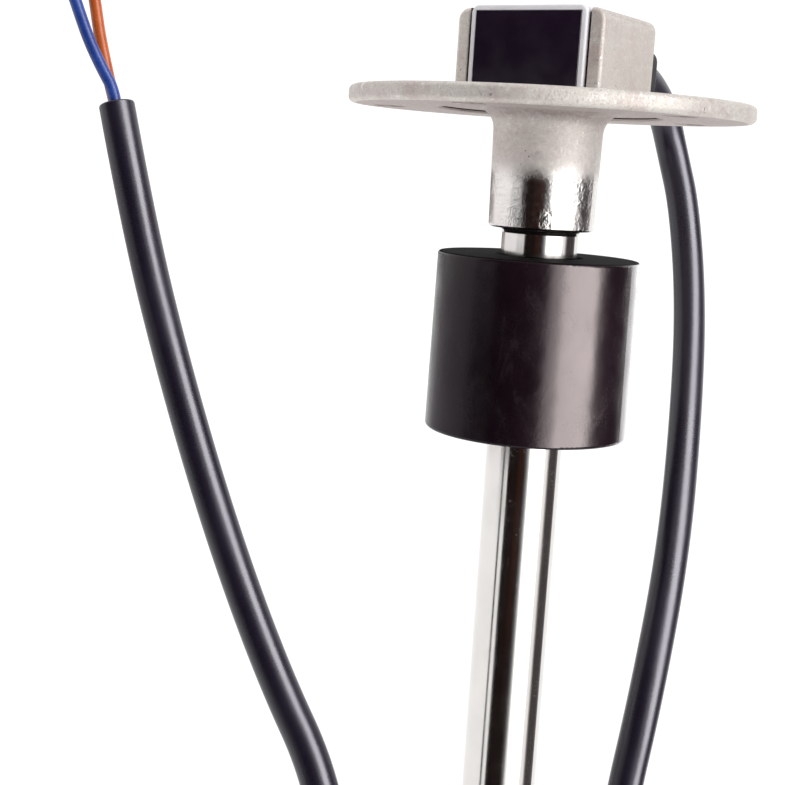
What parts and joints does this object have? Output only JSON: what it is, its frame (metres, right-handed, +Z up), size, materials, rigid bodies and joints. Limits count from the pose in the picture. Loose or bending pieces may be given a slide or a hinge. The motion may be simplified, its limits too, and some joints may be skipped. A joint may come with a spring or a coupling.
{
  "type": "tank level sensor",
  "caption": "Flange-mounted reed tank level sensor: cast steel head with label panel, polished stem, black foam float sliding on the stem, and a black lead with bare wire ends.",
  "frame": {"origin": "centre of the flange's underside, the face that seats on the tank", "axes": "+Z up along the stem axis out of the tank, -Y towards the label panel, +Y towards the cable outlet"},
  "size_m": [0.1124, 0.0996, 0.2062],
  "materials": {
    "cast_steel": "blasted investment casting, satin, slightly pitted",
    "polished_steel": "polished",
    "spring_steel": "satin",
    "float_foam": "satin moulded foam skin",
    "magnet_ferrite": "matt",
    "pale_plastic": "satin moulded",
    "black_panel": "smooth semi-gloss",
    "grommet_rubber": "matt",
    "cable_jacket": "smooth satin extruded",
    "blue_insulation": "smooth extruded",
    "orange_insulation": "smooth extruded",
    "tinned_copper": "tinned",
    "potting_resin": "cast resin",
    "sleeve_film": "shrunk film",
    "circuit_board": "solder resist",
    "reed_tube_glass": "clear glass",
    "chip_ceramic": "ceramic with dark cap"
  },
  "bodies": {
    "sensor_body": {"flange_head": "cast_steel", "stem_tube": "polished_steel", "stem_end_plug": "polished_steel", "retaining_ring": "spring_steel", "stop_washer": "polished_steel", "head_cover": "pale_plastic", "nameplate": "black_panel", "cable_grommet": "grommet_rubber", "cable": "cable_jacket", "wire_blue": "blue_insulation", "wire_orange": "orange_insulation", "wire_tips": "tinned_copper", "lead_blue_inner": "blue_insulation", "lead_orange_inner": "orange_insulation", "potting": "potting_resin", "board_sleeve": "sleeve_film", "reed_board": "circuit_board", "reed_glass": "reed_tube_glass", "reed_leads": "tinned_copper", "chip_resistors": "chip_ceramic"},
    "float": {"float_body": "float_foam", "float_magnet": "magnet_ferrite", "float_plug_ring": "float_foam"}
  },
  "joints": [
    {"name": "float_slide", "type": "slide", "parent": "sensor_body", "child": "float", "axis": [0, 0, 1], "range_m": [-0.1054, 0.004]}
  ]
}
